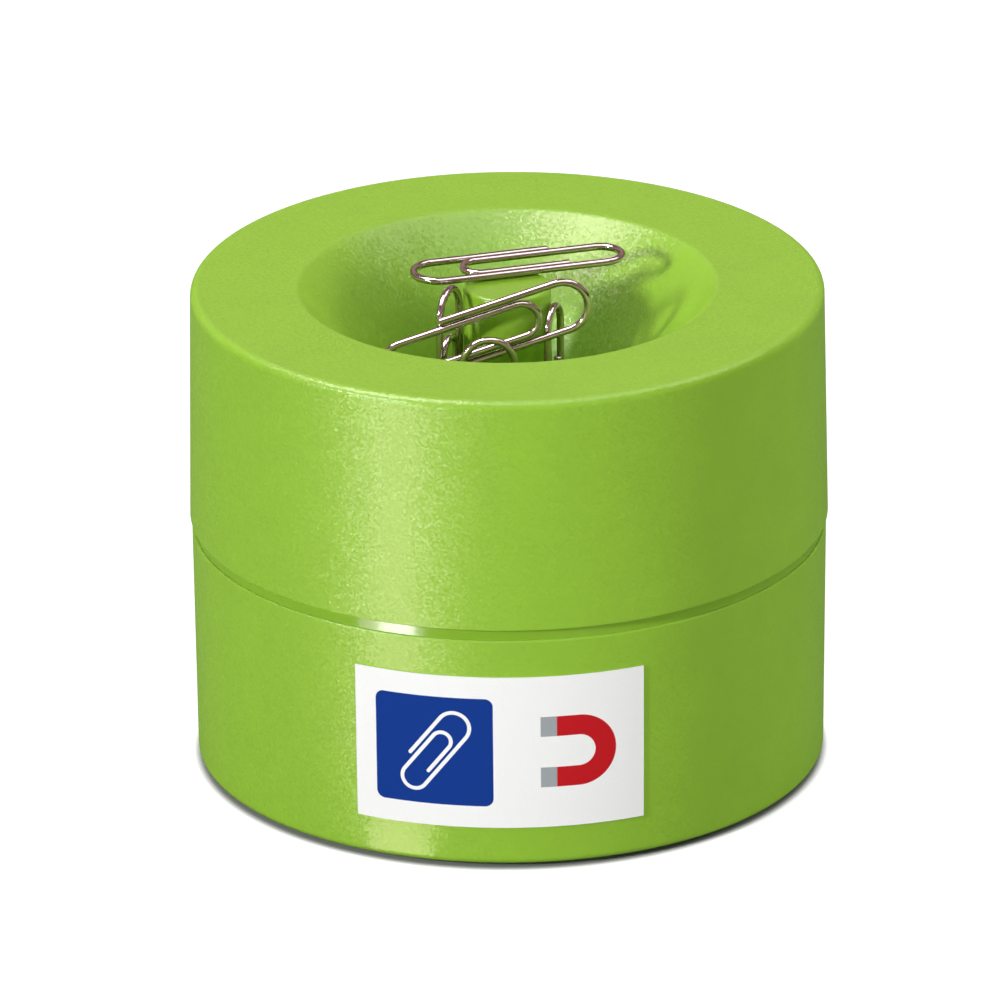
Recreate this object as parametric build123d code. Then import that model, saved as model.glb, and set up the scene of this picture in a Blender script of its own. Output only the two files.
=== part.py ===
from build123d import *
from math import cos, hypot, radians, sin, sqrt, tan
import os

# Magnetic paper clip holder: a two-piece moulded drum with a funnel bowl, a magnet inside its centre post,
# and wire clips on the post. Millimetres, +Z up, the standing face at z = 0, the label faces -Y.

# Drum
overall_diameter = 75.0       # widest point, the lower edge of the upper housing
rim_height = 58.5             # flat rim above the table
seam_height = 30.2            # lower edge of the upper housing above the table
draft_angle = 0.75            # degrees, both mouldings narrow away from the seam
rim_edge_radius = 1.0
skirt_wall = 2.4
rim_wall = 2.2

# Funnel bowl and centre post
mouth_diameter = 49.0
mouth_edge_radius = 1.0
bowl_wall = 2.0
bowl_spare = 3.5              # bowl depth beyond the length of a clip
bowl_corner_radius = 1.8
neck_straight = 0.2           # short upright wall between that corner and the funnel
neck_clearance = 0.6          # free space round the outermost standing clip
post_diameter = 10.3
post_edge_radius = 0.5
post_foot_radius = 1.0
post_cap = 1.5                # plastic above the magnet

# Magnet and the plug that holds it
magnet_diameter = 7.0
magnet_length = 25.0
magnet_clearance = 0.05
plug_flange_diameter = 11.0
plug_flange_thickness = 1.6

# Base cup
base_wall = 2.4
base_floor = 2.5
base_corner_radius = 3.0
base_edge_radius = 0.8
seam_step = 0.22              # the upper housing overhangs the base by this much
seam_gap = 1.35               # height of the polished groove under the upper housing
groove_depth = 0.3            # groove at its foot, behind the wall of the base
groove_lean = 0.25            # further in at the top of the groove
groove_edge_radius = 0.25
spigot_height = 4.0
spigot_wall = 1.15
spigot_chamfer = 0.3
fit_clearance = 0.15          # push fit of the upper housing on the spigot
stop_clearance = 0.3          # spigot top to the end of its rebate

# Anti-slip pad
foot_gap = 0.5                # the pad stands this far proud of the base
pad_diameter = 64.0
pad_thickness = 1.2
pad_clearance = 0.25

# Label
label_width = 34.5            # measured round the base
label_height = 19.0
label_bottom = 5.3            # lower edge above the table
label_turn = -2.2             # degrees off the front, towards the left
label_thickness = 0.15
label_glue = 0.05

# Wire clips
wire_diameter = 0.8
clip_length = 26.0
clip_width = 7.0
clip_inner_setback = 6.0      # inner bend behind the outer bend
clip_outer_leg = 17.6         # free outer leg, from the tip of the outer bend
clip_inner_leg = 12.8         # free inner leg, from the tip of the inner bend
clip_leg_gap = 0.1            # between legs that lie side by side
clip_gap = 0.15               # between a clip and what holds it

# Where the clips hang; azimuths in degrees from the front, positive towards the right
left_clip_touch_angle = -80.0  # place on the post that its inner leg touches
left_clip_heading = -22.0     # the way its width runs, outwards
left_clip_top = 1.3           # above the rim
right_clip_touch_angle = 72.6  # lies flat on the post here
right_clip_offset = 0.73      # its middle, forward of the touching line
right_clip_top = -1.7         # above the rim
cross_clip_rise = 17.0        # degrees that its outer bend is lifted
cross_clip_height = -3.2      # its middle above the rim
cross_clip_clearance = 0.75   # its low end to the funnel, measured level
front_clip_offset = -3.1      # its middle, to the right of the post
top_clip_turn = 16.5          # degrees that its right end swings back
top_clip_offset_right = 1.2   # its middle, to the right of the post
top_clip_offset_back = 5.4    # and behind it

# Radii and levels that follow
drum_radius = overall_diameter / 2
draft = tan(radians(draft_angle))
rim_radius = drum_radius - (rim_height - seam_height) * draft
mouth_radius = mouth_diameter / 2
post_radius = post_diameter / 2
wire_radius = wire_diameter / 2
outer_leg = clip_width / 2 - wire_radius
inner_leg = outer_leg - wire_diameter - clip_leg_gap
bend_reach = clip_length / 2 - wire_radius
bowl_depth = clip_length + bowl_spare
bowl_floor = rim_height - bowl_depth
bowl_underside = bowl_floor - bowl_wall
base_radius = drum_radius - seam_step
base_top = seam_height - seam_gap
base_foot_radius = base_radius - (base_top - foot_gap) * draft
groove_radius = base_radius - groove_depth - groove_lean
spigot_inner = base_radius - base_wall
spigot_outer = spigot_inner + spigot_wall
spigot_top = seam_height + spigot_height
pad_seat = pad_thickness
bore_radius = magnet_diameter / 2 + magnet_clearance
bore_end = rim_height - post_cap
magnet_foot = bore_end - magnet_length
up = Vector(0, 0, 1)


def way(azimuth):
    """Unit vector in plan: 0 is the front, positive turns towards the right."""
    return Vector(sin(radians(azimuth)), -cos(radians(azimuth)), 0)


# Upright wires that the other clips lie against, in plan
hold_radius = post_radius + clip_gap + wire_radius
left_clip_inner = way(left_clip_touch_angle) * hold_radius
left_clip_outer = left_clip_inner + way(left_clip_heading) * (2 * outer_leg)
right_clip_forward = way(right_clip_touch_angle - 90)
right_clip_middle = way(right_clip_touch_angle) * hold_radius + right_clip_forward * right_clip_offset
right_clip_outer = right_clip_middle + right_clip_forward * outer_leg

# Vertical plane that bridges them: the cross clip lies in it, the front clip one wire further out
bridge = (right_clip_outer - left_clip_outer).normalized()
bridge_out = bridge.cross(up)
cross_standoff = bridge_out.dot(left_clip_outer) + wire_diameter + clip_gap
front_standoff = cross_standoff + wire_diameter + clip_gap

# The funnel is one arc that leaves the neck straight up and ends at the mouth
neck_radius = hypot(left_clip_outer.X, left_clip_outer.Y) + wire_radius + neck_clearance
neck_height = bowl_floor + bowl_corner_radius + neck_straight
funnel_rise = rim_height - neck_height
funnel_spread = mouth_radius - neck_radius
funnel_arc = (funnel_spread**2 + funnel_rise**2) / (2 * funnel_spread)


def funnel_radius(height, wall=0.0):
    """Radius of the funnel at a height, or of its underside behind the wall."""
    return neck_radius + funnel_arc - sqrt((funnel_arc - wall) ** 2 - (height - neck_height) ** 2)


def base_radius_at(height):
    return base_foot_radius + (height - foot_gap) * draft


def ring(solid, radius, height):
    """Circular edges of a turned solid at a radius and height."""
    near = 0.001
    circles = solid.edges().filter_by(GeomType.CIRCLE)
    return circles.filter_by(lambda e: abs(e.radius - radius) < near and abs(e.arc_center.Z - height) < near)


def turned(*lines):
    """Solid turned about Z from a closed outline given as radius and height."""
    return revolve(make_face(Curve() + [Plane.XZ * line for line in lines]), Axis.Z)


def upper_housing():
    under_rim = rim_height - rim_wall
    skirt_inner = drum_radius - skirt_wall
    skirt_inner_top = skirt_inner - (under_rim - seam_height) * draft
    rebate_radius = spigot_outer + fit_clearance
    rebate_top = spigot_top + stop_clearance
    outside = Polyline((drum_radius, seam_height), (rim_radius, rim_height), (mouth_radius, rim_height))
    funnel = TangentArc((neck_radius, neck_height), (mouth_radius, rim_height), tangent=(0, 1))
    inside = Polyline(
        (neck_radius, neck_height),
        (neck_radius, bowl_floor),
        (post_radius, bowl_floor),
        (post_radius, rim_height),
        (0, rim_height),
        (0, bore_end),
        (bore_radius, bore_end),
        (bore_radius, bowl_underside),
        (neck_radius + bowl_wall, bowl_underside),
        (neck_radius + bowl_wall, neck_height),
    )
    funnel_foot = (neck_radius + bowl_wall, neck_height)
    funnel_head = (funnel_radius(under_rim, bowl_wall), under_rim)
    funnel_back = TangentArc(funnel_foot, funnel_head, tangent=(0, 1))
    skirt = Polyline(
        funnel_head,
        (skirt_inner_top, under_rim),
        (skirt_inner - (rebate_top - seam_height) * draft, rebate_top),
        (rebate_radius, rebate_top),
        (rebate_radius, seam_height),
        (drum_radius, seam_height),
    )
    shell = turned(outside, funnel, inside, funnel_back, skirt)
    shell = fillet(ring(shell, rim_radius, rim_height), rim_edge_radius)
    shell = fillet(ring(shell, mouth_radius, rim_height), mouth_edge_radius)
    shell = fillet(ring(shell, neck_radius, bowl_floor), bowl_corner_radius)
    shell = fillet(ring(shell, post_radius, bowl_floor), post_foot_radius)
    return fillet(ring(shell, post_radius, rim_height), post_edge_radius)


def base_cup():
    floor_top = pad_seat + base_floor
    recess_radius = pad_diameter / 2 + pad_clearance
    inner_foot = spigot_inner - (spigot_top - floor_top) * draft
    outline = Polyline(
        (0, pad_seat),
        (recess_radius, pad_seat),
        (recess_radius, foot_gap),
        (base_foot_radius, foot_gap),
        (base_radius, base_top),
        (base_radius - groove_depth, base_top),
        (groove_radius, seam_height),
        (spigot_outer, seam_height),
        (spigot_outer, spigot_top),
        (spigot_inner, spigot_top),
        (inner_foot, floor_top),
        (0, floor_top),
        close=True,
    )
    cup = turned(outline)
    cup = fillet(ring(cup, base_foot_radius, foot_gap), base_edge_radius)
    cup = fillet(ring(cup, base_radius, base_top), groove_edge_radius)
    cup = fillet(ring(cup, inner_foot, floor_top), base_corner_radius)
    return chamfer(ring(cup, spigot_outer, spigot_top), spigot_chamfer)


def bar_magnet():
    return Pos(0, 0, magnet_foot) * extrude(Circle(magnet_diameter / 2), magnet_length)


def magnet_plug():
    shank_radius = bore_radius - magnet_clearance
    flange_foot = bowl_underside - plug_flange_thickness
    outline = Polyline(
        (0, flange_foot),
        (plug_flange_diameter / 2, flange_foot),
        (plug_flange_diameter / 2, bowl_underside),
        (shank_radius, bowl_underside),
        (shank_radius, magnet_foot),
        (0, magnet_foot),
        close=True,
    )
    return turned(outline)


def anti_slip_pad():
    return extrude(Circle(pad_diameter / 2), pad_thickness)


def label():
    label_top = label_bottom + label_height
    inner_low = base_radius_at(label_bottom) + label_glue
    inner_high = base_radius_at(label_top) + label_glue
    outline = Polyline(
        (inner_low, label_bottom),
        (inner_low + label_thickness, label_bottom),
        (inner_high + label_thickness, label_top),
        (inner_high, label_top),
        close=True,
    )
    middle_radius = (inner_low + inner_high) / 2
    arc = label_width / radians(middle_radius)
    sheet = revolve(make_face(Plane.XZ * outline), Axis.Z, arc)
    return Rot(0, 0, label_turn - 90 - arc / 2) * sheet


def wire_clip():
    """Bent wire in its own plane, long axis along X with the outer bend at +X, free outer leg at +Y."""
    quarter = (outer_leg + inner_leg) / 2
    inner_tip = bend_reach - clip_inner_setback
    outer_end = clip_length / 2 - clip_outer_leg
    inner_end = inner_tip + wire_radius - clip_inner_leg
    outer_bend = bend_reach - outer_leg
    far_bend = quarter - bend_reach
    inner_bend = inner_tip - inner_leg
    path = Curve() + [
        Line((outer_end, outer_leg), (outer_bend, outer_leg)),
        ThreePointArc((outer_bend, outer_leg), (bend_reach, 0), (outer_bend, -outer_leg)),
        Line((outer_bend, -outer_leg), (far_bend, -outer_leg)),
        ThreePointArc((far_bend, -outer_leg), (-bend_reach, inner_leg - quarter), (far_bend, inner_leg)),
        Line((far_bend, inner_leg), (inner_bend, inner_leg)),
        ThreePointArc((inner_bend, inner_leg), (inner_tip, 0), (inner_bend, -inner_leg)),
        Line((inner_bend, -inner_leg), (inner_end, -inner_leg)),
    ]
    section = Plane((outer_end, outer_leg, 0), z_dir=(1, 0, 0)) * Circle(wire_radius)
    return sweep(section, path)


def held(middle, along, side):
    """A clip with its outer bend towards along and its free outer leg towards side."""
    return Plane(middle, x_dir=along, z_dir=along.cross(side)) * wire_clip()


def clip_left():
    heading = way(left_clip_heading)
    middle = left_clip_inner + heading * outer_leg
    return held(middle + up * (rim_height + left_clip_top - clip_length / 2), up, heading)


def clip_right():
    middle = right_clip_middle + up * (rim_height + right_clip_top - clip_length / 2)
    return held(middle, -up, right_clip_forward)


def clip_cross():
    rise = radians(cross_clip_rise)
    low_end = rim_height + cross_clip_height - bend_reach * sin(rise)
    low_end_radius = funnel_radius(low_end) - wire_radius - cross_clip_clearance
    reach = sqrt(low_end_radius**2 - cross_standoff**2)
    shift = bend_reach * cos(rise) - reach
    middle = bridge_out * cross_standoff + bridge * shift + up * (rim_height + cross_clip_height)
    return held(middle, bridge * cos(rise) + up * sin(rise), up * cos(rise) - bridge * sin(rise))


def clip_front():
    middle = bridge_out * front_standoff + bridge * front_clip_offset
    return held(middle + up * (bowl_floor + clip_gap + clip_length / 2), up, bridge)


def clip_top():
    turn = radians(top_clip_turn)
    along = Vector(-cos(turn), -sin(turn), 0)
    side = Vector(-sin(turn), cos(turn), 0)
    middle = Vector(top_clip_offset_right, top_clip_offset_back, rim_height + clip_gap + wire_radius)
    return held(middle, along, side)


pieces = [
    upper_housing,
    base_cup,
    bar_magnet,
    magnet_plug,
    anti_slip_pad,
    label,
    clip_top,
    clip_cross,
    clip_left,
    clip_right,
    clip_front,
]

os.makedirs("parts", exist_ok=True)
for piece in pieces:
    export_step(piece(), f"parts/{piece.__name__}.step")
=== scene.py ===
import functools
import math

import bmesh
import bpy
from bpy.props import FloatProperty, FloatVectorProperty, IntProperty, PointerProperty
from mathutils import Matrix, Vector


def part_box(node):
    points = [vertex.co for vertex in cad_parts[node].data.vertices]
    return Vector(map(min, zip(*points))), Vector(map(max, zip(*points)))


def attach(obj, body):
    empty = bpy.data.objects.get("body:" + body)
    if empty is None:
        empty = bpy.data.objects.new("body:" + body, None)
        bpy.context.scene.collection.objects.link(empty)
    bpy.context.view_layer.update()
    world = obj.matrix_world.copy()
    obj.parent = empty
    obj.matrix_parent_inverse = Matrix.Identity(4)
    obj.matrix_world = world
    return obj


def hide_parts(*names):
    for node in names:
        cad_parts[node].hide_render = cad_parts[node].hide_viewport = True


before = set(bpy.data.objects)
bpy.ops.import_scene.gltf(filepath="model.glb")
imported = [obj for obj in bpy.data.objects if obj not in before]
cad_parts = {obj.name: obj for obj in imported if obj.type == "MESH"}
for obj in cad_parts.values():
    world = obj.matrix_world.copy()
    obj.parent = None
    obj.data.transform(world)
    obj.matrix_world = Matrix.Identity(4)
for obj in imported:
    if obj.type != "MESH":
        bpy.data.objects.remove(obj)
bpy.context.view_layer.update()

bl_info = {
    "name": "Magnetic Paper Clip Holder",
    "version": (1, 0, 0),
    "blender": (4, 5, 0),
    "location": "View3D > Sidebar > Clip Holder",
    "description": "Dresses the CAD frame of a magnetic paper clip holder for rendering",
    "category": "Object",
}

MM = 0.001
UP = Vector((0, 0, 1))
UPPER_LOW, UPPER_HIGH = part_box("upper_housing")
BASE_LOW, BASE_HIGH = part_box("base_cup")
PAD_LOW, PAD_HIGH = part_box("anti_slip_pad")
LABEL_LOW, LABEL_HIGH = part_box("label")

CREASE = math.radians(32)  # faces that meet at more than this show an edge
EDGE_STEP = math.radians(10)  # largest turn between the points of a rounded edge
BEND_STEP = math.radians(6)  # largest turn between the points of a bend in the wire
FUNNEL_STEPS = 40  # points up the curve of the funnel
HOLD_MARGIN = 0.2 * MM  # from the end of a straight run to the point that holds its shading flat
INK_EDGE = 0.03  # half the soft edge of printed ink, in millimetres
NOISE_RANGE = 0.3, 0.7  # a noise texture keeps mostly between these
HORIZON_BAND = 0.1, 0.3  # heights on the unit sphere where the horizon turns into the walls
CEILING_BAND = 0.45, 0.7  # heights on the unit sphere where the walls turn into the ceiling

# Soft boxes: azimuth and elevation in degrees, distance, width and height in metres, and whether reflections show them.
BOXES = {
    "key": (-50, 21, 0.95, 0.1, 0.12, True),
    "top": (25, 72, 1.1, 0.8, 0.8, True),
    "back": (180, 50, 1.1, 0.9, 0.4, False),
    "right": (28, 3, 1.2, 0.6, 0.3, False),
    "left_edge": (-130, 6, 1.0, 0.4, 0.15, False),
    "right_edge": (130, 6, 1.0, 0.4, 0.15, False),
}
# High bright cards: azimuth and elevation in degrees, distance and half width in metres.
HIGH_CARDS = {"window_card": (-84, 66, 0.8, 0.22), "side_card": (110, 60, 0.8, 0.2)}


def length(description, millimetres):
    return FloatProperty(description=description, default=millimetres * MM, unit="LENGTH", precision=5)


def angle(description, degrees):
    return FloatProperty(description=description, default=math.radians(degrees), subtype="ANGLE")


def number(description, default):
    return FloatProperty(description=description, default=default)


def count(description, default, least):
    return IntProperty(description=description, default=default, min=least)


def place(description, default):
    return FloatVectorProperty(description=description, default=default, unit="LENGTH")


def colour(description, default):
    return FloatVectorProperty(description=description, default=default, subtype="COLOR", min=0.0, max=1.0)


def named(group):
    """Names each setting of a group after its attribute, in plain words."""
    for key, setting in group.__annotations__.items():
        setting.keywords["name"] = key.replace("_", " ").capitalize()
    return group


@named
class HousingSizes(bpy.types.PropertyGroup):
    drum_radius: length("Lower edge of the upper housing", UPPER_HIGH.x / MM)
    rim_height: length("Flat rim above the table", UPPER_HIGH.z / MM)
    underside: length("Underside of the bowl above the table", UPPER_LOW.z / MM)
    seam_height: length("Lower edge of the upper housing above the table", 30.2)
    draft: angle("Lean of the moulded walls", 0.75)
    rim_edge: length("Rounding of the outer edge of the rim", 1.0)
    rim_wall: length("Thickness of the flat rim", 2.2)
    skirt_wall: length("Thickness of the skirt", 2.4)
    skirt_edge: length("Break of the lower edge of the skirt", 0.12)
    mouth_radius: length("Mouth of the bowl", 24.5)
    mouth_edge: length("Rounding of the mouth of the bowl", 1.0)
    bowl_wall: length("Thickness of the bowl", 2.0)
    bowl_corner: length("Rounding between neck and floor of the bowl", 1.8)
    neck_straight: length("Short upright wall between that corner and the funnel", 0.2)
    neck_radius: length("Narrow foot of the funnel", 11.41)
    post_radius: length("Centre post", 5.15)
    post_edge: length("Rounding of the end of the post", 0.5)
    post_foot: length("Rounding at the foot of the post", 1.0)
    post_cap: length("Plastic above the magnet", 1.5)
    # The post's value also sets how far painted shade darkens it.
    post_polish: number("Polish of the post", 0.5)
    bore_radius: length("Bore for the magnet", 3.55)
    rebate_radius: length("Rebate that takes the spigot of the base", 36.18)
    rebate_top: length("End of the rebate above the table", 34.5)
    steps: count("Faces round a turned piece", 240, 24)


@named
class BaseSizes(bpy.types.PropertyGroup):
    radius: length("Widest point of the base, below the groove", BASE_HIGH.x / MM)
    foot_gap: length("The pad stands this far proud of the base", BASE_LOW.z / MM)
    foot_edge: length("Rounding of the lower edge", 0.8)
    floor: length("Thickness of the floor", 2.5)
    floor_corner: length("Rounding between floor and wall inside", 3.0)
    groove_height: length("Height of the polished groove at the seam", 1.35)
    groove_depth: length("Groove at its foot, behind the wall", 0.3)
    groove_lean: length("Further in at the top of the groove", 0.25)
    groove_edge: length("Rounding of the edge below the groove", 0.25)
    spigot_inner: length("Inner radius of the spigot", 34.88)
    spigot_outer: length("Outer radius of the spigot", 36.03)
    spigot_edge: length("Rounding of the end of the spigot", 0.3)
    recess_radius: length("Recess that takes the pad", 32.25)
    pad_edge: length("Rounding of the lower edge of the pad", 0.2)


@named
class LabelSizes(bpy.types.PropertyGroup):
    width: length("Measured round the base", 34.5)
    turn: angle("Off the front, towards the left", -2.2)
    glue: length("Gap between base and paper", 0.05)
    thickness: length("Paper", 0.15)
    columns: count("Faces across the label", 84, 8)
    rows: count("Faces up the label", 12, 2)


@named
class ClipSizes(bpy.types.PropertyGroup):
    wire_radius: length("Half the wire's thickness", 0.45)
    clip_length: length("Over the outer bends", 26.0)
    clip_width: length("Over the outer legs", 7.0)
    inner_setback: length("Inner bend behind the outer bend", 6.0)
    outer_leg: length("Free outer leg, from the tip of the outer bend", 17.6)
    inner_leg: length("Free inner leg, from the tip of the inner bend", 12.8)
    leg_gap: length("Between legs that lie side by side", 0.1)
    cut_edge: length("Break of the cut ends", 0.08)
    sides: count("Faces round the wire", 24, 8)


@named
class ClipPlaces(bpy.types.PropertyGroup):
    gap: length("Between a clip and what holds it", 0.15)
    left_touch: angle("Place on the post that the left clip touches", -80.0)
    left_heading: angle("The way the left clip's width runs, outwards", -22.0)
    left_top: length("Left clip above the rim", 1.3)
    right_touch: angle("Place on the post that the right clip lies on", 72.6)
    right_offset: length("Right clip's middle, forward of the touching line", 0.73)
    right_top: length("Right clip above the rim", -1.7)
    cross_rise: angle("Lift of the cross clip's outer bend", 17.0)
    cross_height: length("Cross clip's middle above the rim", -3.2)
    cross_clearance: length("Cross clip's low end to the funnel", 0.75)
    front_offset: length("Front clip's middle, to the right of the post", -3.1)
    top_turn: angle("Swing of the top clip's right end", 16.5)
    top_right: length("Top clip's middle, to the right of the post", 1.2)
    top_back: length("Top clip's middle, behind the post", 5.4)


@named
class Finishes(bpy.types.PropertyGroup):
    plastic: colour("Moulded green", (0.285, 0.53, 0.036))
    grain_size: length("Width of one grain of the moulded texture", 0.24)
    grain_tip: number("How far the grains of the moulded texture tip", 0.2)
    grain_roughness: number("Roughness of the moulded texture", 0.32)
    polish_roughness: number("Roughness of the groove and the spigot", 0.1)
    # Painted shade: where fully polished, the plastic's colour is scaled to this, darkening the groove under the upper
    # housing and the spigot, and the post by half as much; partly the deeper look of polished plastic.
    polish_depth: number("Brightness of the groove and the spigot", 0.85)
    wire: colour("Plated steel wire", (0.52, 0.465, 0.435))
    wire_roughness: number("Roughness of the wire", 0.11)
    paper: colour("Label stock", (0.93, 0.93, 0.92))
    panel: colour("Printed panel", (0.010, 0.045, 0.27))
    magnet_print: colour("Body of the printed magnet", (0.55, 0.015, 0.02))
    tip_print: colour("Tips of the printed magnet", (0.36, 0.38, 0.40))
    rubber: colour("Anti-slip pad", (0.018, 0.018, 0.019))
    magnet: colour("Sintered magnet", (0.045, 0.044, 0.046))


@named
class StudioSetup(bpy.types.PropertyGroup):
    lens: number("Focal length in millimetres", 632.0)
    distance: length("From the camera to the drum's middle", 2064.9)
    elevation: angle("Above the table", 22.355)
    roll: angle("Turn of the picture", -0.5)
    middle: place("Point that the distance is measured to", (0.0, 0.0, 0.02958))
    aim: place("Point in the middle of the picture", (-0.00106, 0.00058, 0.0310))
    floor_radius: length("White table round the object", 2500.0)
    key_power: number("Small box at the front left, in watts", 5.9)
    top_power: number("Wide box overhead, in watts", 5.4)
    back_power: number("Wide box behind, in watts", 7.0)
    right_power: number("Low wide box at the front right, in watts", 6.3)
    left_edge_power: number("Low box behind the left edge, in watts", 4.0)
    right_edge_power: number("Low box behind the right edge, in watts", 4.5)
    table_card: number("Level of the bright card on the table at the front left", 7.0)
    groove_card: number("Level of the low bright card that the groove mirrors", 40.0)
    window_card: number("Level of the bright card high at the left", 15.0)
    side_card: number("Level of the bright card high at the right", 4.0)
    card_tint: colour("Colour of the card on the table", (1.0, 0.6, 0.9))
    window_tint: colour("Colour of the two high cards", (1.0, 0.74, 0.95))
    sky_light: number("Level of the room as it lights the object", 0.03)
    horizon: number("Level of the room near the table, as reflections show it", 0.1)
    wall: number("Level of the room's walls, as reflections show them", 0.5)
    ceiling: number("Level of the room overhead, as reflections show it", 0.2)
    room_tint: colour("Colour of the room, as reflections show it", (1.0, 0.68, 0.6))


def new_object(name, data):
    obj = bpy.data.objects.new(name, data)
    bpy.context.scene.collection.objects.link(obj)
    return obj


class Nodes:
    """One node tree, with short ways to add to it; an input takes a socket to link or a value to set."""

    def __init__(self, tree):
        self.tree = tree

    def feed(self, node, inputs):
        for key, value in inputs.items():
            if isinstance(value, bpy.types.NodeSocket):
                self.tree.links.new(value, node.inputs[key])
            else:
                node.inputs[key].default_value = value

    def add(self, kind, inputs=None, **settings):
        """Outputs of a new node."""
        node = self.tree.nodes.new(kind)
        for key, value in settings.items():
            setattr(node, key, value)
        self.feed(node, inputs or {})
        return node.outputs

    def group(self, group, inputs):
        return self.add("ShaderNodeGroup", inputs, node_tree=group)

    def math(self, operation, *values):
        return self.add("ShaderNodeMath", dict(enumerate(values)), operation=operation)[0]

    def vector(self, operation, *values):
        outputs = self.add("ShaderNodeVectorMath", dict(enumerate(values)), operation=operation)
        return outputs["Value" if operation in {"LENGTH", "DOT_PRODUCT"} else "Vector"]

    def scaled(self, vector, scale):
        return self.add("ShaderNodeVectorMath", {"Vector": vector, "Scale": scale}, operation="SCALE")["Vector"]

    def mix(self, factor, a, b):
        """Colour mix of a and b; of the node's sockets, 6, 7 and 2 are those for colours."""
        a, b = [end if isinstance(end, bpy.types.NodeSocket) else (*end, 1.0) for end in (a, b)]
        return self.add("ShaderNodeMix", {0: factor, 6: a, 7: b}, data_type="RGBA")[2]

    def two_shades(self, mask, base, shade):
        """Mix of a colour with a darker or lighter shade of itself."""
        return self.mix(mask, base, [value * shade for value in base])

    def remap(self, value, low, high, to_low, to_high, smooth=False):
        kind = "SMOOTHSTEP" if smooth else "LINEAR"
        sockets = {"Value": value, "From Min": low, "From Max": high, "To Min": to_low, "To Max": to_high}
        return self.add("ShaderNodeMapRange", sockets, interpolation_type=kind)["Result"]

    def noise(self, vector, scale, detail):
        return self.add("ShaderNodeTexNoise", {"Vector": vector, "Scale": scale, "Detail": detail})["Fac"]

    def bump(self, height, distance):
        return self.add("ShaderNodeBump", {"Height": height, "Distance": distance})["Normal"]

    def object_point(self):
        return self.add("ShaderNodeTexCoord")["Object"]

    def attribute(self, name, output="Fac"):
        return self.add("ShaderNodeAttribute", attribute_name=name)[output]


def node_group(kind, inputs, outputs):
    """Turns a function that adds nodes and returns what the outputs take into one that gives that group, made once."""

    def decorate(fill):
        @functools.wraps(fill)
        def group():
            if fill.__name__ in bpy.data.node_groups:
                return bpy.data.node_groups[fill.__name__]
            tree = bpy.data.node_groups.new(fill.__name__, kind)
            for in_out, sockets in (("INPUT", inputs), ("OUTPUT", outputs)):
                for name, socket_type in sockets.items():
                    tree.interface.new_socket(name, in_out=in_out, socket_type="NodeSocket" + socket_type)
            nodes = Nodes(tree)
            made = fill(nodes, nodes.add("NodeGroupInput"))
            nodes.feed(tree.nodes.new("NodeGroupOutput"), made)
            return tree

        return group

    return decorate


def new_material(name):
    """A material, its nodes and its Principled shader."""
    material = bpy.data.materials.new(name)
    material.use_nodes = True
    return material, Nodes(material.node_tree), material.node_tree.nodes["Principled BSDF"]


@node_group("ShaderNodeTree", {"Size": "Float", "Tip": "Float"}, {"Normal": "Vector", "Tone": "Float"})
def moulded_grain(nodes, given):
    """Texture that a spark-eroded mould leaves: grains of one size that tip every way, and a slow change of tone."""
    cloud_scale = 160.0
    point = nodes.object_point()
    scale = nodes.math("DIVIDE", 1.0, given["Size"])
    grains = nodes.add("ShaderNodeTexVoronoi", {"Vector": point, "Scale": scale})
    tip = nodes.vector("SUBTRACT", grains["Color"], (0.5, 0.5, 0.5))
    facing = nodes.add("ShaderNodeNewGeometry")["Normal"]
    tipped = nodes.vector("ADD", facing, nodes.scaled(tip, given["Tip"]))
    cloud = nodes.noise(point, cloud_scale, 3.0)
    return {"Normal": nodes.vector("NORMALIZE", tipped), "Tone": nodes.remap(cloud, *NOISE_RANGE, 0.0, 1.0)}


def grained(name, base, shade, size, tip, roughness):
    """A material with the moulded grain, in two shades of one colour."""
    material, nodes, shader = new_material(name)
    grain = nodes.group(moulded_grain(), {"Size": size, "Tip": tip})
    looks = {
        "Base Color": nodes.two_shades(grain["Tone"], base, shade),
        "Roughness": nodes.remap(grain["Tone"], 0.0, 1.0, *roughness),
        "Normal": grain["Normal"],
    }
    nodes.feed(shader, looks)
    return material


def green_plastic():
    """Moulded green plastic, grained, and smooth where the piece's attribute for polished places is 1; it also darkens
    as that attribute rises, painted shade in the groove under the upper housing and on the post, partly the deeper look
    of polished plastic.
    """
    if "grained_plastic" in bpy.data.materials:
        return bpy.data.materials["grained_plastic"]
    look = bpy.context.scene.holder_finishes
    material, nodes, shader = new_material("grained_plastic")
    shade, duller = 0.95, 0.04
    polish = nodes.attribute("polish")
    tip = nodes.remap(polish, 0.0, 1.0, look.grain_tip, 0.0)
    grain = nodes.group(moulded_grain(), {"Size": look.grain_size, "Tip": tip})
    toned = nodes.two_shades(grain["Tone"], look.plastic, shade)
    # Painted shade: the colour darkens where polished, in the groove under the upper housing and on the post; partly
    # the deeper look of polished plastic.
    painted_shade = nodes.remap(polish, 0.0, 1.0, 1.0, look.polish_depth)
    rough = nodes.remap(polish, 0.0, 1.0, look.grain_roughness, look.polish_roughness)
    looks = {
        "Base Color": nodes.scaled(toned, painted_shade),
        "Roughness": nodes.math("MULTIPLY_ADD", grain["Tone"], duller, rough),
        "Normal": grain["Normal"],
        "IOR": 1.46,
    }
    nodes.feed(shader, looks)
    return material


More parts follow.
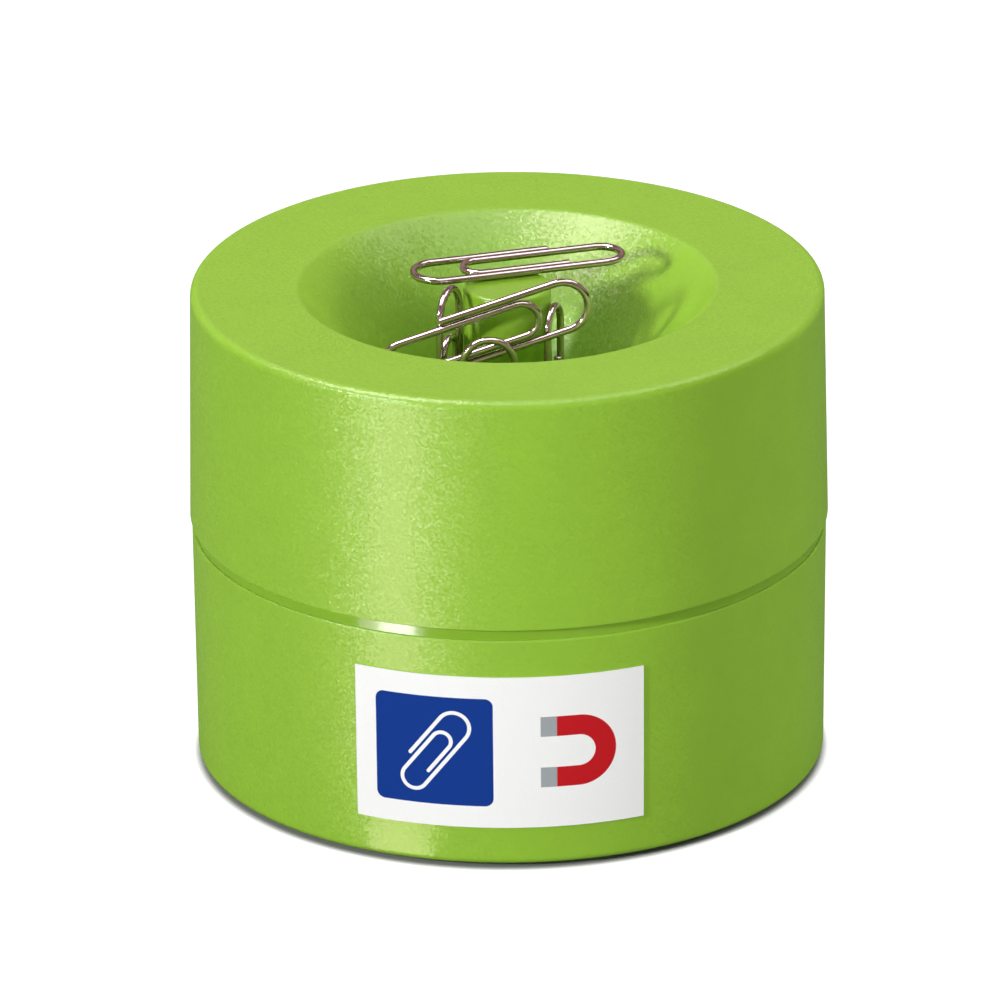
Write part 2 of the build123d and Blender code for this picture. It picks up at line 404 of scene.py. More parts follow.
def plated_wire():
    """Bright plated steel wire with faint lines along its length."""
    look = bpy.context.scene.holder_finishes
    material, nodes, shader = new_material("plated_wire")
    across_scale, along_scale, cloud_scale = 9000.0, 40.0, 700.0
    shade, smoother, rougher, line_depth = 0.8, 0.05, 0.08, 0.004 * MM
    along = nodes.math("MULTIPLY", nodes.attribute("along"), along_scale)
    run = nodes.add("ShaderNodeCombineXYZ", {"Z": along})["Vector"]
    across = nodes.scaled(nodes.attribute("across", "Vector"), across_scale)
    drawn = nodes.noise(nodes.vector("ADD", across, run), 1.0, 3.0)
    cloud = nodes.noise(nodes.object_point(), cloud_scale, 2.0)
    spread = look.wire_roughness - smoother, look.wire_roughness + rougher
    looks = {
        "Base Color": nodes.two_shades(cloud, look.wire, shade),
        "Metallic": 1.0,
        "Roughness": nodes.remap(drawn, *NOISE_RANGE, *spread),
        "Normal": nodes.bump(drawn, line_depth),
    }
    nodes.feed(shader, looks)
    return material


@node_group("ShaderNodeTree", {"Point": "Vector", "Start": "Vector", "End": "Vector"}, {"Distance": "Float"})
def line_distance(nodes, given):
    """Distance in the plane from a point to a straight stroke."""
    offset = nodes.vector("SUBTRACT", given["Point"], given["Start"])
    run = nodes.vector("SUBTRACT", given["End"], given["Start"])
    reach = nodes.vector("DOT_PRODUCT", offset, run)
    share = nodes.math("DIVIDE", reach, nodes.vector("DOT_PRODUCT", run, run))
    held = nodes.add("ShaderNodeClamp", {"Value": share})["Result"]
    nearest = nodes.vector("SUBTRACT", offset, nodes.scaled(run, held))
    return {"Distance": nodes.vector("LENGTH", nearest)}


@node_group(
    "ShaderNodeTree",
    {"Point": "Vector", "Centre": "Vector", "Radius": "Float", "Bulge": "Vector"},
    {"Distance": "Float"},
)
def bend_distance(nodes, given):
    """Distance in the plane from a point to a half circle that bulges one way; large behind it."""
    out_of_reach = 100.0
    offset = nodes.vector("SUBTRACT", given["Point"], given["Centre"])
    ring = nodes.math("SUBTRACT", nodes.vector("LENGTH", offset), given["Radius"])
    behind = nodes.math("LESS_THAN", nodes.vector("DOT_PRODUCT", offset, given["Bulge"]), 0.0)
    return {"Distance": nodes.math("MULTIPLY_ADD", behind, out_of_reach, nodes.math("ABSOLUTE", ring))}


def placed_point(nodes, point, location, turn, size):
    """The point in a mark's own plane: its centre, turn and scale on the label taken off."""
    sockets = {"Vector": point, "Location": location, "Rotation": (0.0, 0.0, turn), "Scale": (size, size, size)}
    return nodes.add("ShaderNodeMapping", sockets, vector_type="TEXTURE")["Vector"]


def nearest_stroke(nodes, point, lines, bends):
    """Distance from a point to the nearest of a mark's strokes."""
    strokes = [(line_distance(), {"Start": (*start, 0.0), "End": (*end, 0.0)}) for start, end in lines]
    for centre, radius, bulge in bends:
        sockets = {"Centre": (*centre, 0.0), "Radius": radius, "Bulge": (bulge, 0.0, 0.0)}
        strokes.append((bend_distance(), sockets))
    found = [nodes.group(group, {"Point": point, **sockets})["Distance"] for group, sockets in strokes]
    return functools.reduce(functools.partial(nodes.math, "MINIMUM"), found)


def ink(nodes, distance, half_width):
    """Mask that is 1 within half a stroke's width, with a soft edge as printed ink has."""
    return nodes.remap(distance, half_width - INK_EDGE, half_width + INK_EDGE, 1.0, 0.0, smooth=True)


def clip_mark(nodes, point):
    """Distance to the outline of a wire clip, about 12 by 4 units."""
    lines = [
        ((-2.2, 2.0), (4.0, 2.0)),
        ((4.0, -2.0), (-4.4, -2.0)),
        ((-4.4, 1.2), (1.6, 1.2)),
        ((1.6, -1.2), (-2.6, -1.2)),
    ]
    bends = [((4.0, 0.0), 2.0, 1.0), ((-4.4, -0.4), 1.6, -1.0), ((1.6, 0.0), 1.2, 1.0)]
    return nearest_stroke(nodes, point, lines, bends)


def magnet_mark(nodes, point):
    """Distance to the middle line of a horseshoe magnet that opens to the left."""
    lines = [((0.0, 3.2), (-6.0, 3.2)), ((0.0, -3.2), (-6.0, -3.2))]
    return nearest_stroke(nodes, point, lines, [((0.0, 0.0), 3.2, 1.0)])


def printed_paper():
    """White label with a panel that holds a clip mark, and a magnet mark beside it; lengths in millimetres."""
    look = bpy.context.scene.holder_finishes
    sheet = (bpy.context.scene.holder_label.width / MM, (LABEL_HIGH.z - LABEL_LOW.z) / MM, 0.0)
    panel_middle, panel_half, panel_corner = (9.6, 9.5, 0.0), (6.0, 5.8, 0.0), 1.0
    clip_turn, clip_scale, clip_line = math.radians(52.0), 0.95, 0.24
    magnet_middle, magnet_line, magnet_end, tip_start = (26.6, 9.5, 0.0), 1.25, -4.5, -2.6
    fibre_scale, fibre_depth, fibre_tone, roughness = 5200.0, 0.006 * MM, (0.97, 1.0), (0.5, 0.6)

    material, nodes, shader = new_material("printed_paper")
    across = nodes.add("ShaderNodeUVMap", uv_map="print")["UV"]
    point = nodes.vector("MULTIPLY", across, sheet)
    inset = nodes.vector("ABSOLUTE", nodes.vector("SUBTRACT", point, panel_middle))
    beyond = nodes.vector("SUBTRACT", inset, panel_half)
    panel = nodes.vector("LENGTH", nodes.vector("MAXIMUM", beyond, (0.0, 0.0, 0.0)))
    print_colour = nodes.mix(ink(nodes, panel, panel_corner), look.paper, look.panel)
    clip_point = placed_point(nodes, point, panel_middle, clip_turn, clip_scale)
    print_colour = nodes.mix(ink(nodes, clip_mark(nodes, clip_point), clip_line), print_colour, look.paper)
    magnet_point = placed_point(nodes, point, magnet_middle, 0.0, 1.0)
    reach = nodes.add("ShaderNodeSeparateXYZ", {"Vector": magnet_point})["X"]
    ended = nodes.remap(reach, magnet_end - INK_EDGE, magnet_end + INK_EDGE, 0.0, 1.0)
    body = nodes.math("MULTIPLY", ink(nodes, magnet_mark(nodes, magnet_point), magnet_line), ended)
    tips = nodes.remap(reach, tip_start - INK_EDGE, tip_start + INK_EDGE, 1.0, 0.0)
    magnet_colour = nodes.mix(tips, look.magnet_print, look.tip_print)
    print_colour = nodes.mix(body, print_colour, magnet_colour)
    fibre = nodes.noise(nodes.object_point(), fibre_scale, 3.0)
    tint = nodes.remap(fibre, *NOISE_RANGE, *fibre_tone)
    looks = {
        "Base Color": nodes.scaled(print_colour, tint),
        "Roughness": nodes.remap(fibre, *NOISE_RANGE, *roughness),
        "Specular IOR Level": 0.0,
        "Normal": nodes.bump(fibre, fibre_depth),
    }
    nodes.feed(shader, looks)
    return material


def finished(nodes, geometry, material):
    """The end of a geometry tree: smooth faces, real geometry, one material."""
    smooth = nodes.add("GeometryNodeSetShadeSmooth", {"Geometry": geometry})["Geometry"]
    real = nodes.add("GeometryNodeRealizeInstances", {"Geometry": smooth})["Geometry"]
    return nodes.add("GeometryNodeSetMaterial", {"Geometry": real, "Material": material})["Geometry"]


@node_group(
    "GeometryNodeTree",
    {"Outline": "Geometry", "Steps": "Int", "Hub": "Float", "Finish": "Material"},
    {"Piece": "Geometry"},
)
def turned_piece(nodes, given):
    """An outline of radius and height, as a line of edges in XZ, turned about Z."""
    line = nodes.add("GeometryNodeMeshToCurve", {"Mesh": given["Outline"]})["Curve"]
    back = nodes.add("ShaderNodeCombineXYZ", {"X": nodes.math("MULTIPLY", given["Hub"], -1.0)})
    laying = {"Geometry": line, "Translation": back["Vector"], "Rotation": (math.pi / 2, 0.0, 0.0)}
    laid = nodes.add("GeometryNodeTransform", laying)["Geometry"]
    ring = {"Resolution": given["Steps"], "Radius": given["Hub"]}
    hub = nodes.add("GeometryNodeCurvePrimitiveCircle", ring)["Curve"]
    skin = nodes.add("GeometryNodeCurveToMesh", {"Curve": hub, "Profile Curve": laid})["Mesh"]
    closed = nodes.add("GeometryNodeMergeByDistance", {"Geometry": skin, "Distance": 1e-7})
    return {"Piece": finished(nodes, closed["Geometry"], given["Finish"])}


@node_group(
    "GeometryNodeTree",
    {"Path": "Geometry", "Wire radius": "Float", "Sides": "Int", "End share": "Float", "Finish": "Material"},
    {"Wire": "Geometry"},
)
def bent_wire(nodes, given):
    """Round wire along a path of edges, its cut ends broken, with attributes along and across it."""

    def store(geometry, name, value, data_type):
        inputs = {"Geometry": geometry, "Name": name, "Value": value}
        kind = "GeometryNodeStoreNamedAttribute"
        return nodes.add(kind, inputs, domain="POINT", data_type=data_type)["Geometry"]

    path = nodes.add("GeometryNodeMeshToCurve", {"Mesh": given["Path"]})["Curve"]
    run = nodes.add("GeometryNodeSplineParameter")["Length"]
    path = store(path, "along", run, "FLOAT")
    ring = {"Resolution": given["Sides"], "Radius": given["Wire radius"]}
    section = nodes.add("GeometryNodeCurvePrimitiveCircle", ring)["Curve"]
    spot = nodes.add("GeometryNodeInputPosition")["Position"]
    section = store(section, "across", spot, "FLOAT_VECTOR")
    ends = nodes.add("GeometryNodeCurveEndpointSelection", {"Start Size": 1, "End Size": 1})["Selection"]
    shares = {"Switch": ends, "False": 1.0, "True": given["End share"]}
    broken = nodes.add("GeometryNodeSwitch", shares, input_type="FLOAT")["Output"]
    swept = {"Curve": path, "Profile Curve": section, "Scale": broken, "Fill Caps": True}
    skin = nodes.add("GeometryNodeCurveToMesh", swept)["Mesh"]
    return {"Wire": finished(nodes, skin, given["Finish"])}


def grown(obj, group, inputs):
    """Runs a geometry tree on an object and keeps its result as a plain mesh with outward faces."""
    modifier = obj.modifiers.new(group.name, "NODES")
    modifier.node_group = group
    sockets = {item.name: item.identifier for item in group.interface.items_tree if item.in_out == "INPUT"}
    for name, value in inputs.items():
        modifier[sockets[name]] = value
    obj.update_tag()
    depsgraph = bpy.context.evaluated_depsgraph_get()
    mesh = bpy.data.meshes.new_from_object(
        obj.evaluated_get(depsgraph), preserve_all_data_layers=True, depsgraph=depsgraph
    )
    if not mesh.polygons:
        raise RuntimeError(f"{obj.name}: the geometry nodes made no faces")
    obj.modifiers.clear()
    outline = obj.data
    obj.data = mesh
    bpy.data.meshes.remove(outline)
    mesh.name = obj.name
    shell = bmesh.new()
    shell.from_mesh(mesh)
    bmesh.ops.recalc_face_normals(shell, faces=shell.faces)
    shell.to_mesh(mesh)
    shell.free()
    mesh.set_sharp_from_angle(angle=CREASE)
    return obj


def line_of_edges(name, points, polish=None):
    """A mesh of edges through points, with a polish value for each point where one is given."""
    mesh = bpy.data.meshes.new(name)
    mesh.from_pydata(points, [(i, i + 1) for i in range(len(points) - 1)], [])
    if polish is not None:
        mesh.attributes.new("polish", "FLOAT", "POINT").data.foreach_set("value", polish)
    return mesh


def arc_points(centre, start, end, step):
    """Points from start to end round a centre in the plane, the short way."""
    spoke = start - centre
    swept = math.atan2(*(end - centre).yx) - math.atan2(*spoke.yx)
    swept = (swept + math.pi) % (2 * math.pi) - math.pi
    parts = max(2, math.ceil(abs(swept) / step))
    return [centre + Matrix.Rotation(swept * i / parts, 2) @ spoke for i in range(parts + 1)]


def rounded_outline(corners):
    """Points and polish along corners of (radius, height, rounding, polish), arcs in place of the corners."""
    points = []
    for index, (radius, height, rounding, polish) in enumerate(corners):
        corner = Vector((radius, height))
        if rounding == 0:
            points.append((corner, polish))
            continue
        back = (Vector(corners[index - 1][:2]) - corner).normalized()
        onward = (Vector(corners[index + 1][:2]) - corner).normalized()
        half = back.angle(onward) / 2
        centre = corner + (back + onward).normalized() * rounding / math.sin(half)
        set_back = rounding / math.tan(half)
        arc = arc_points(centre, corner + back * set_back, corner + onward * set_back, EDGE_STEP)
        points += [(point, polish) for point in arc]
    return points


def held_outline(points):
    """Adds a point near each end of the long straight runs, so that their shading stays flat."""
    held = [points[0]]
    for (start, start_polish_and_shade), (end, end_polish_and_shade) in zip(points, points[1:]):
        run = end - start
        if run.length > 3 * HOLD_MARGIN:
            step = run.normalized() * HOLD_MARGIN
            held.append((start + step, start_polish_and_shade))
            held.append((end - step, end_polish_and_shade))
        held.append((end, end_polish_and_shade))
    return held


def turn_piece(name, corners, material):
    """A turned piece from the corners of its outline, from the axis to the axis."""
    points = held_outline(rounded_outline(corners))
    path = [(point.x, 0.0, point.y) for point, polish in points]
    obj = new_object(name, line_of_edges(name, path, [polish for point, polish in points]))
    steps = bpy.context.scene.holder_housing.steps
    return grown(obj, turned_piece(), {"Steps": steps, "Hub": MM, "Finish": material})


def bowl_heights(size):
    """Heights of the bowl's floor and of the neck, where the funnel starts."""
    bowl_floor = size.underside + size.bowl_wall
    return bowl_floor, bowl_floor + size.bowl_corner + size.neck_straight


def funnel_radius(size, height, wall=0.0):
    """Radius of the funnel, an arc, at a height; or of its outside where a wall is given."""
    neck_height = bowl_heights(size)[1]
    rise = size.rim_height - neck_height
    spread = size.mouth_radius - size.neck_radius
    arc = (spread**2 + rise**2) / (2 * spread)
    return size.neck_radius + arc - math.sqrt((arc - wall) ** 2 - (height - neck_height) ** 2)


def way(azimuth):
    """Unit vector in plan: 0 is the front, positive turns towards the right."""
    return Vector((math.sin(azimuth), -math.cos(azimuth), 0.0))


def way_up(azimuth, elevation):
    """Unit vector towards an azimuth and an elevation."""
    return way(azimuth) * math.cos(elevation) + UP * math.sin(elevation)


class HOLDER_OT_upper_housing(bpy.types.Operator):
    """Turn the skirt, rim, funnel bowl and post"""

    bl_idname = "holder.upper_housing"
    bl_label = "Upper Housing"

    def execute(self, context):
        size = context.scene.holder_housing
        bowl_floor, neck_height = bowl_heights(size)
        lean = math.tan(size.draft)
        under_rim = size.rim_height - size.rim_wall
        bore_end = size.rim_height - size.post_cap
        back_neck = size.neck_radius + size.bowl_wall
        skirt_inner = size.drum_radius - size.skirt_wall
        rim_radius = size.drum_radius - (size.rim_height - size.seam_height) * lean
        front = [neck_height + (size.rim_height - neck_height) * i / FUNNEL_STEPS for i in range(FUNNEL_STEPS)]
        behind = [neck_height + (under_rim - neck_height) * i / FUNNEL_STEPS for i in range(FUNNEL_STEPS + 1)]
        corners = [
            (0.0, bore_end, 0, 1),
            (size.bore_radius, bore_end, 0, 1),
            (size.bore_radius, size.underside, 0, 1),
            (back_neck, size.underside, 0, 1),
        ]
        corners += [(funnel_radius(size, height, size.bowl_wall), height, 0, 1) for height in behind]
        corners += [
            (skirt_inner - (under_rim - size.seam_height) * lean, under_rim, 0, 1),
            (skirt_inner - (size.rebate_top - size.seam_height) * lean, size.rebate_top, 0, 1),
            (size.rebate_radius, size.rebate_top, 0, 1),
            (size.rebate_radius, size.seam_height, 0, 1),
            (size.drum_radius, size.seam_height, size.skirt_edge, 0),
            (rim_radius, size.rim_height, size.rim_edge, 0),
            (size.mouth_radius, size.rim_height, size.mouth_edge, 0),
        ]
        corners += [(funnel_radius(size, height), height, 0, 0) for height in reversed(front)]
        corners += [
            (size.neck_radius, bowl_floor, size.bowl_corner, 0),
            (size.post_radius, bowl_floor, size.post_foot, size.post_polish),
            (size.post_radius, size.rim_height, size.post_edge, size.post_polish),
            (0.0, size.rim_height, 0, size.post_polish),
        ]
        piece = turn_piece("upper_housing_moulding", corners, green_plastic())
        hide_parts("upper_housing")
        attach(piece, "upper")
        return {"FINISHED"}


class HOLDER_OT_base_cup(bpy.types.Operator):
    """Turn the base cup with its polished groove and spigot, darkened there by painted shade"""

    bl_idname = "holder.base_cup"
    bl_label = "Base Cup"

    def execute(self, context):
        size = context.scene.holder_base
        housing = context.scene.holder_housing
        lean = math.tan(housing.draft)
        seam = housing.seam_height
        edge = seam - size.groove_height
        seat = PAD_HIGH.z
        floor_top = seat + size.floor
        spigot_top = BASE_HIGH.z
        foot_radius = size.radius - (edge - size.foot_gap) * lean
        inner_foot = size.spigot_inner - (spigot_top - floor_top) * lean
        corners = [
            (0.0, seat, 0, 1),
            (size.recess_radius, seat, 0, 1),
            (size.recess_radius, size.foot_gap, 0, 1),
            (foot_radius, size.foot_gap, size.foot_edge, 0),
            (size.radius, edge, size.groove_edge, 0),
            (size.radius - size.groove_depth, edge, 0, 1),
            (size.radius - size.groove_depth - size.groove_lean, seam, 0, 1),
            (size.spigot_outer, seam, 0, 1),
            (size.spigot_outer, spigot_top, size.spigot_edge, 1),
            (size.spigot_inner, spigot_top, size.spigot_edge, 1),
            (inner_foot, floor_top, size.floor_corner, 1),
            (0.0, floor_top, 0, 1),
        ]
        piece = turn_piece("base_cup_moulding", corners, green_plastic())
        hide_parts("base_cup")
        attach(piece, "base")
        return {"FINISHED"}


class HOLDER_OT_anti_slip_pad(bpy.types.Operator):
    """Turn the pad that the holder stands on"""

    bl_idname = "holder.anti_slip_pad"
    bl_label = "Anti-slip Pad"

    def execute(self, context):
        edge = context.scene.holder_base.pad_edge
        look = context.scene.holder_finishes
        rubber = grained("pad_rubber", look.rubber, shade=1.6, size=0.5 * MM, tip=0.5, roughness=(0.7, 0.85))
        corners = [
            (0.0, PAD_LOW.z, 0, 0),
            (PAD_HIGH.x, PAD_LOW.z, edge, 0),
            (PAD_HIGH.x, PAD_HIGH.z, edge / 2, 0),
            (0.0, PAD_HIGH.z, 0, 0),
        ]
        piece = turn_piece("anti_slip_pad_disc", corners, rubber)
        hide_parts("anti_slip_pad")
        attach(piece, "base")
        return {"FINISHED"}


class HOLDER_OT_magnet(bpy.types.Operator):
    """Give the magnet and its plug their finishes"""

    bl_idname = "holder.magnet"
    bl_label = "Magnet and Plug"

    def execute(self, context):
        look = context.scene.holder_finishes
        coarse = 2 * look.grain_size
        ferrite = grained("sintered_magnet", look.magnet, shade=1.5, size=0.25 * MM, tip=0.2, roughness=(0.4, 0.55))
        plastic = grained("plug_plastic", look.plastic, shade=0.85, size=coarse, tip=0.1, roughness=(0.4, 0.4))
        for node, material in (("bar_magnet", ferrite), ("magnet_plug", plastic)):
            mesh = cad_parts[node].data
            mesh.materials.clear()
            mesh.materials.append(material)
        return {"FINISHED"}


class HOLDER_OT_label(bpy.types.Operator):
    """Wrap the printed paper label round the base"""

    bl_idname = "holder.label"
    bl_label = "Label"

    def execute(self, context):
        size = context.scene.holder_label
        base = context.scene.holder_base
        housing = context.scene.holder_housing
        lean = math.tan(housing.draft)
        low, high = LABEL_LOW.z, LABEL_HIGH.z
        edge = housing.seam_height - base.groove_height

        def skin_radius(height):
            return base.radius - (edge - height) * lean + size.glue

        swept = size.width / skin_radius((low + high) / 2)
        sheet = bmesh.new()
        uv = sheet.loops.layers.uv.new("print")
        share = {}

        def layer(lift):
            """Rows of points across the label, and each point's share of its width and height."""
            rows = []
            for row in range(size.rows + 1):
                height = low + (high - low) * row / size.rows
                radius = skin_radius(height) + lift
                turns = [size.turn + swept * (column / size.columns - 0.5) for column in range(size.columns + 1)]
                rows.append([sheet.verts.new(way(turn) * radius + UP * height) for turn in turns])
                for column, vert in enumerate(rows[-1]):
                    share[vert] = (column / size.columns, row / size.rows)
            return rows

        def rim(rows):
            """Points round the edge of a layer."""
            left, right = [verts[0] for verts in rows[:-1]], [verts[-1] for verts in rows[:0:-1]]
            return left + rows[-1][:-1] + right + rows[0][:0:-1]

        outer, inner = layer(size.thickness), layer(0.0)
        for row in range(size.rows):
            for column in range(size.columns):
                for rows in (outer, inner):
                    below, above = rows[row], rows[row + 1]
                    sheet.faces.new((below[column], below[column + 1], above[column + 1], above[column]))
        out, back = rim(outer), rim(inner)
        for index, vert in enumerate(out):
            sheet.faces.new((out[index - 1], vert, back[index], back[index - 1]))
        bmesh.ops.recalc_face_normals(sheet, faces=sheet.faces)
        for face in sheet.faces:
            face.smooth = True
            for loop in face.loops:
                loop[uv].uv = share[loop.vert]
        mesh = bpy.data.meshes.new("label_sheet")
        sheet.to_mesh(mesh)
        sheet.free()
        mesh.set_sharp_from_angle(angle=CREASE)
        mesh.materials.append(printed_paper())
        piece = new_object("label_sheet", mesh)
        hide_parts("label")
        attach(piece, "base")
        return {"FINISHED"}


class HOLDER_OT_clips(bpy.types.Operator):
    """Bend the wire clips and hang them on the post"""

    bl_idname = "holder.clips"
    bl_label = "Wire Clips"

    def execute(self, context):
        self.size = context.scene.holder_clips
        self.material = plated_wire()
        places = context.scene.holder_places
        housing = context.scene.holder_housing
        rim = housing.rim_height
        wire = self.size.wire_radius
        half_length = self.size.clip_length / 2
        leg = self.size.clip_width / 2 - wire

        hold = housing.post_radius + places.gap + wire
        heading = way(places.left_heading)
        left_inner = way(places.left_touch) * hold
        left_outer = left_inner + heading * 2 * leg
        self.hang("left", left_inner + heading * leg + UP * (rim + places.left_top - half_length), UP, heading)

        forward = way(places.right_touch - math.pi / 2)
        right_middle = way(places.right_touch) * hold + forward * places.right_offset
        right_outer = right_middle + forward * leg
        self.hang("right", right_middle + UP * (rim + places.right_top - half_length), -UP, forward)

        bridge = (right_outer - left_outer).normalized()
        outward = bridge.cross(UP)
        standoff = outward.dot(left_outer) + 2 * wire + places.gap
        rise_cos, rise_sin = math.cos(places.cross_rise), math.sin(places.cross_rise)
        bend_reach = half_length - wire
        low_end = rim + places.cross_height - bend_reach * rise_sin
        low_radius = funnel_radius(housing, low_end) - wire - places.cross_clearance
        shift = bend_reach * rise_cos - math.sqrt(low_radius**2 - standoff**2)
        middle = outward * standoff + bridge * shift + UP * (rim + places.cross_height)
        self.hang("cross", middle, bridge * rise_cos + UP * rise_sin, UP * rise_cos - bridge * rise_sin)

        middle = outward * (standoff + 2 * wire + places.gap) + bridge * places.front_offset
        self.hang("front", middle + UP * (bowl_heights(housing)[0] + places.gap + half_length), UP, bridge)

        along = Vector((-math.cos(places.top_turn), -math.sin(places.top_turn), 0))
        side = Vector((-math.sin(places.top_turn), math.cos(places.top_turn), 0))
        self.hang("top", Vector((places.top_right, places.top_back, rim + places.gap + wire)), along, side)
        return {"FINISHED"}

    def path(self):
        """Middle line of the wire in its own plane, the outer bend at +X and the free outer leg at +Y."""
        size = self.size
        wire = size.wire_radius
        outer = size.clip_width / 2 - wire
        inner = outer - 2 * wire - size.leg_gap
        tip = size.clip_length / 2 - wire
        far = (outer + inner) / 2
        inner_tip = tip - size.inner_setback
        outer_end = size.clip_length / 2 - size.outer_leg
        inner_end = inner_tip + wire - size.inner_leg
        points = [Vector((outer_end, outer)), Vector((outer_end + size.cut_edge, outer))]
        for bend_x, bend_y, radius, way_out in (
            (tip - outer, 0.0, outer, 1),
            (far - tip, inner - far, far, -1),
            (inner_tip - inner, 0.0, inner, 1),
        ):
            centre = Vector((bend_x, bend_y))
            start = centre + Vector((0, radius * way_out))
            middle = centre + Vector((radius * way_out, 0))
            end = centre - Vector((0, radius * way_out))
            points += arc_points(centre, start, middle, BEND_STEP)
            points += arc_points(centre, middle, end, BEND_STEP)[1:]
        points += [Vector((inner_end + size.cut_edge, -inner)), Vector((inner_end, -inner))]
        return points

    def hang(self, name, middle, along, side):
        """One clip with its outer bend towards along and its free outer leg towards side."""
        points = [middle + along * point.x + side * point.y for point in self.path()]
        obj = new_object(f"clip_{name}_wire", line_of_edges(f"clip_{name}_wire", points))
        inputs = {
            "Wire radius": self.size.wire_radius,
            "Sides": self.size.sides,
            "End share": 1.0 - self.size.cut_edge / self.size.wire_radius,
            "Finish": self.material,
        }
        grown(obj, bent_wire(), inputs)
        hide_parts(f"clip_{name}")
        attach(obj, f"{name}_clip")


class HOLDER_OT_stage(bpy.types.Operator):
    """Set the white table, the soft boxes, the bright cards and the camera"""

    bl_idname = "holder.stage"
    bl_label = "Stage"

    def execute(self, context):
        setup = context.scene.holder_studio
        context.scene.view_settings.view_transform = "Standard"
        self.floor(setup)
        self.room(context.scene, setup)
        for name in BOXES:
            self.box(name, setup)
        self.table_card(setup)
        self.groove_card(setup)
        for name in HIGH_CARDS:
            self.high_card(name, setup)
        self.camera(context.scene, setup)
        return {"FINISHED"}

    def floor(self, setup):
        """A white table that darkens only close under the object: a painted contact shadow, its glow fading where
        ambient occlusion finds the object close by.
        """
        disc = bmesh.new()
        bmesh.ops.create_circle(disc, cap_ends=True, segments=96, radius=setup.floor_radius)
        mesh = bpy.data.meshes.new("floor")
        disc.to_mesh(mesh)
        disc.free()
        lit, mirrored = (0.35, 0.35, 0.35), (0.12, 0.12, 0.12)
        painted_shadow_reach, darkest, glow = 1.1 * MM, 0.5, 0.8
        material, nodes, shader = new_material("white_table")
        path = nodes.add("ShaderNodeLightPath")
        open_sky = nodes.add("ShaderNodeAmbientOcclusion", {"Distance": painted_shadow_reach}, samples=8)["AO"]
        # Painted contact shadow: the glow fades with ambient occlusion under the object.
        clear = nodes.remap(open_sky, darkest, 1.0, 0.0, glow)
        looks = {
            "Base Color": nodes.mix(path["Is Glossy Ray"], lit, mirrored),
            "Roughness": 0.6,
            "Specular IOR Level": 0.0,
            "Emission Color": (1.0, 1.0, 1.0, 1.0),
            "Emission Strength": nodes.math("MULTIPLY", path["Is Camera Ray"], clear),
        }
        nodes.feed(shader, looks)
        mesh.materials.append(material)
        new_object("floor", mesh)

    def table_card(self, setup):
        """A strip of light on the table, laid along the rays that an upright band of the wall mirrors."""
        near, far, lift = 38 * MM, 0.6, 0.3 * MM
        left, right = math.radians(-27.5), math.radians(-15)
        start, end = way(left) * near + UP * lift, way(right) * near + UP * lift
        corners = [start, start + way(2 * left) * far, end + way(2 * right) * far, end]
        self.card("table_card", corners, setup.table_card, setup.card_tint)

    def groove_card(self, setup):
        """A low standing card at the left that the polished groove mirrors."""
        distance, spread, turn, height = 0.6, math.radians(6.5), math.radians(-39.5), 0.07
        left, right, lift = way(turn - spread) * distance, way(turn + spread) * distance, UP * height
        self.card("groove_card", [left, right, right + lift, left + lift], setup.groove_card, (1.0, 1.0, 1.0))

    def high_card(self, name, setup):
        """A square of light that faces the object."""
        azimuth, elevation, distance, half = HIGH_CARDS[name]
        back = way_up(math.radians(azimuth), math.radians(elevation))
        across = UP.cross(back).normalized() * half
        upward = back.cross(across).normalized() * half
        corners = [back * distance + across * x + upward * y for x, y in ((-1, -1), (1, -1), (1, 1), (-1, 1))]
        self.card(name, corners, getattr(setup, name), setup.window_tint)

    def card(self, name, corners, level, tint):
        """A bright card that shows only in reflections."""
        mesh = bpy.data.meshes.new(name)
        mesh.from_pydata(corners, [], [(0, 1, 2, 3)])
        material, nodes, shader = new_material(name)
        black = (0.0, 0.0, 0.0, 1.0)
        nodes.feed(shader, {"Base Color": black, "Emission Color": (*tint, 1.0), "Emission Strength": level})
        mesh.materials.append(material)
        obj = new_object(name, mesh)
        obj.visible_camera = False
        obj.visible_diffuse = False
        obj.visible_shadow = False

    def room(self, scene, setup):
        """A room that is white to the camera, dim to the object and grey in reflections."""
        scene.world = bpy.data.worlds.new("white_room")
        scene.world.use_nodes = True
        nodes = Nodes(scene.world.node_tree)
        path = nodes.add("ShaderNodeLightPath")
        mirrored = nodes.math("MAXIMUM", path["Is Glossy Ray"], path["Is Transmission Ray"])
        heading = nodes.add("ShaderNodeTexCoord")["Generated"]
        height = nodes.add("ShaderNodeSeparateXYZ", {"Vector": heading})["Z"]
        rising = nodes.remap(height, *HORIZON_BAND, setup.horizon, setup.wall, smooth=True)
        closing = nodes.remap(height, *CEILING_BAND, 0.0, setup.ceiling - setup.wall, smooth=True)
        shown = nodes.math("MULTIPLY", mirrored, nodes.math("ADD", rising, closing))
        level = nodes.math("MAXIMUM", path["Is Camera Ray"], shown)
        looks = {
            "Color": nodes.mix(mirrored, (1.0, 1.0, 1.0), setup.room_tint),
            "Strength": nodes.math("MAXIMUM", level, setup.sky_light),
        }
        nodes.feed(nodes.tree.nodes["Background"], looks)

    def box(self, name, setup):
        """A rectangular soft box, aimed at the object."""
        azimuth, elevation, distance, width, height, mirrored = BOXES[name]
        lamp = bpy.data.lights.new(f"{name}_box", "AREA")
        lamp.shape = "RECTANGLE"
        lamp.size, lamp.size_y = width, height
        lamp.energy = getattr(setup, f"{name}_power")
        obj = new_object(f"{name}_box", lamp)
        back = way_up(math.radians(azimuth), math.radians(elevation))
        obj.location = Vector(setup.middle) + back * distance
        obj.rotation_euler = back.to_track_quat("Z", "Y").to_euler()
        obj.visible_camera = False
        obj.visible_glossy = mirrored

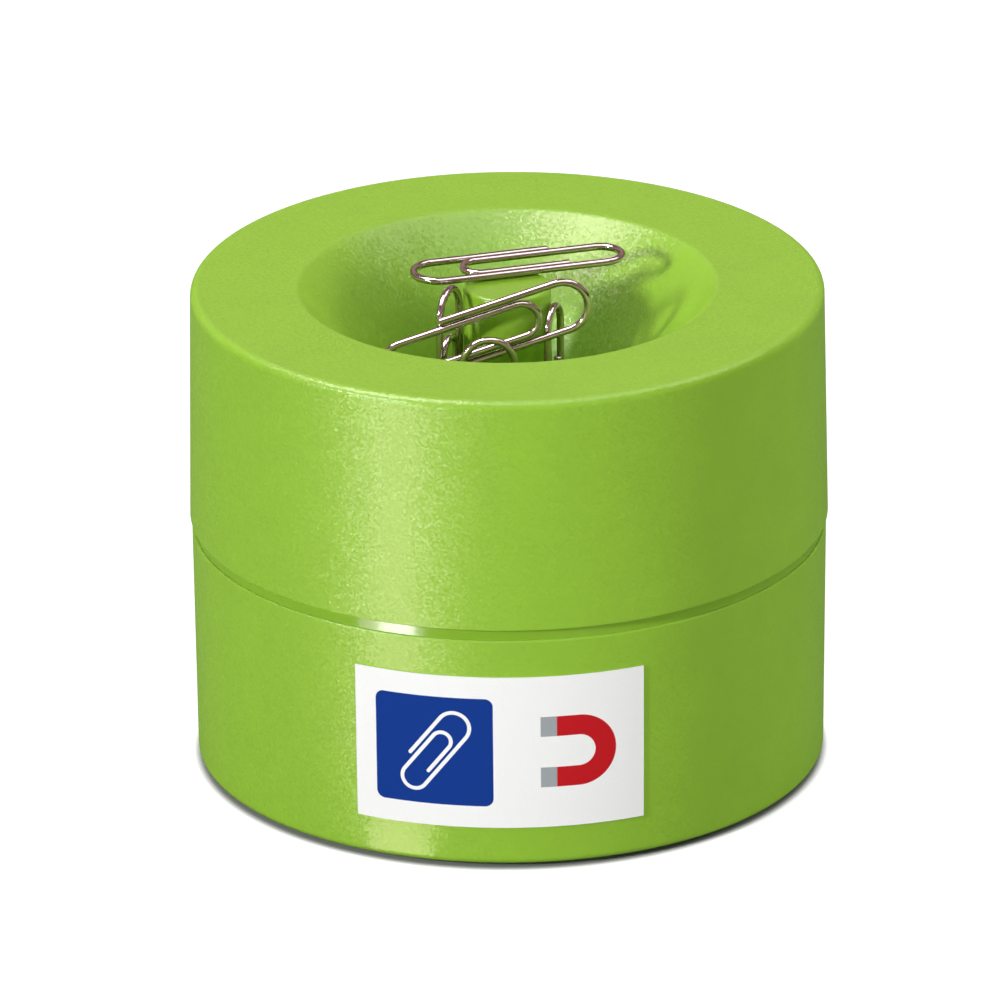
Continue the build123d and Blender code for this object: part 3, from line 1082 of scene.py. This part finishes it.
    def camera(self, scene, setup):
        data = bpy.data.cameras.new("camera")
        data.lens = setup.lens
        data.sensor_width = 36.0
        data.clip_end = 20.0
        camera = new_object("camera", data)
        camera.location = Vector(setup.middle) + way_up(0.0, setup.elevation) * setup.distance
        aim = (camera.location - Vector(setup.aim)).to_track_quat("Z", "Y")
        camera.rotation_euler = (aim.to_matrix() @ Matrix.Rotation(setup.roll, 3, "Z")).to_euler()
        scene.camera = camera


class HOLDER_PT_sidebar(bpy.types.Panel):
    """Lists the pieces and the stage"""

    bl_label = "Clip Holder"
    bl_idname = "HOLDER_PT_sidebar"
    bl_space_type = "VIEW_3D"
    bl_region_type = "UI"
    bl_category = "Clip Holder"

    def draw(self, context):
        column = self.layout.column()
        for operator in OPERATORS:
            column.operator(operator.bl_idname)


GROUPS = {
    "holder_housing": HousingSizes,
    "holder_base": BaseSizes,
    "holder_label": LabelSizes,
    "holder_clips": ClipSizes,
    "holder_places": ClipPlaces,
    "holder_finishes": Finishes,
    "holder_studio": StudioSetup,
}
OPERATORS = (
    HOLDER_OT_upper_housing,
    HOLDER_OT_base_cup,
    HOLDER_OT_anti_slip_pad,
    HOLDER_OT_magnet,
    HOLDER_OT_label,
    HOLDER_OT_clips,
    HOLDER_OT_stage,
)


def register():
    for name, group in GROUPS.items():
        bpy.utils.register_class(group)
        setattr(bpy.types.Scene, name, PointerProperty(type=group))
    for cls in (*OPERATORS, HOLDER_PT_sidebar):
        bpy.utils.register_class(cls)


def unregister():
    for cls in (HOLDER_PT_sidebar, *reversed(OPERATORS)):
        bpy.utils.unregister_class(cls)
    for name, group in reversed(GROUPS.items()):
        delattr(bpy.types.Scene, name)
        bpy.utils.unregister_class(group)


def main():
    register()
    bpy.ops.holder.upper_housing()
    bpy.ops.holder.base_cup()
    bpy.ops.holder.anti_slip_pad()
    bpy.ops.holder.magnet()
    bpy.ops.holder.label()
    bpy.ops.holder.clips()
    bpy.ops.holder.stage()


if __name__ == "__main__":
    main()
